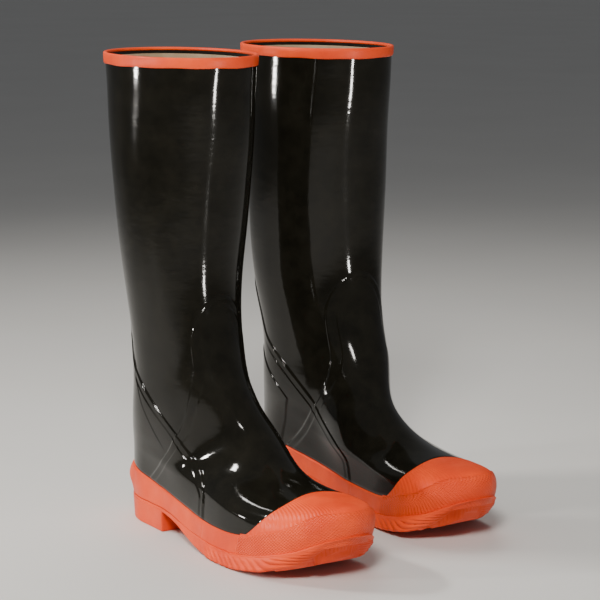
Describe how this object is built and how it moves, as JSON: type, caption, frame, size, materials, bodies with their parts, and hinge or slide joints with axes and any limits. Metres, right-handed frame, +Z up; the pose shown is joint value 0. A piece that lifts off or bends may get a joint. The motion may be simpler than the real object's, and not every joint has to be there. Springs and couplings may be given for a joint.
{
  "type": "insulated knee-high rubber hunting boots",
  "caption": "Knee-high insulated rubber field boots: glossy black upper with red-orange sole, ribbed toe cap, foxing band and topline binding.",
  "frame": {"origin": "centre of the pair's footprint, on the ground", "axes": "+Z up, -Y the way the toes point, +X the wearer's left; the right boot is at -X and the left at +X"},
  "size_m": [0.282, 0.3632, 0.406],
  "materials": {
    "black_gum_rubber": "glossy, dipped and lacquered",
    "red_gum_rubber": "satin, finely pebbled or ribbed",
    "red_sole_rubber": "satin, cleated",
    "black_rubber_core": "raw moulded",
    "felt_filler": "pressed felt",
    "spring_steel": "rolled strip",
    "fibre_board": "pressed fibre",
    "grey_felt": "needled felt",
    "white_foam": "fleecy insulation",
    "tan_lining": "knitted cotton"
  },
  "bodies": {
    "right_boot": {"right_outsole": "red_sole_rubber", "right_heel_core": "black_rubber_core", "right_midsole_filler": "felt_filler", "right_shank": "spring_steel", "right_insole_board": "fibre_board", "right_leg_rubber": "black_gum_rubber", "right_foot_rubber": "black_gum_rubber", "right_leg_insulation": "white_foam", "right_foot_insulation": "white_foam", "right_leg_lining": "tan_lining", "right_foot_lining": "tan_lining", "right_collar_facing": "tan_lining", "right_instep_piece": "black_gum_rubber", "right_counter_piece": "black_gum_rubber", "right_heel_stay": "black_gum_rubber", "right_foxing": "red_gum_rubber", "right_toe_bumper": "red_gum_rubber", "right_toe_cap": "red_gum_rubber", "right_topline_binding": "red_gum_rubber"},
    "left_boot": {"left_outsole": "red_sole_rubber", "left_heel_core": "black_rubber_core", "left_midsole_filler": "felt_filler", "left_shank": "spring_steel", "left_insole_board": "fibre_board", "left_leg_rubber": "black_gum_rubber", "left_foot_rubber": "black_gum_rubber", "left_leg_insulation": "white_foam", "left_foot_insulation": "white_foam", "left_leg_lining": "tan_lining", "left_foot_lining": "tan_lining", "left_collar_facing": "tan_lining", "left_instep_piece": "black_gum_rubber", "left_counter_piece": "black_gum_rubber", "left_heel_stay": "black_gum_rubber", "left_foxing": "red_gum_rubber", "left_toe_bumper": "red_gum_rubber", "left_toe_cap": "red_gum_rubber", "left_topline_binding": "red_gum_rubber"},
    "right_footbed_body": {"right_footbed": "grey_felt"},
    "left_footbed_body": {"left_footbed": "grey_felt"}
  },
  "joints": [
    {"name": "left_boot_lift", "type": "slide", "parent": "right_boot", "child": "left_boot", "axis": [0, 0, 1], "range_m": [0, 0.45]},
    {"name": "right_footbed_peel", "type": "hinge", "parent": "right_boot", "child": "right_footbed_body", "pos_m": [-0.07395, -0.16921, 0.04077], "axis": [1, 0, 0], "range_deg": [0, 6]},
    {"name": "left_footbed_peel", "type": "hinge", "parent": "left_boot", "child": "left_footbed_body", "pos_m": [0.08592, -0.13132, 0.04077], "axis": [0.9986, 0.0523, 0], "range_deg": [0, 6]}
  ]
}
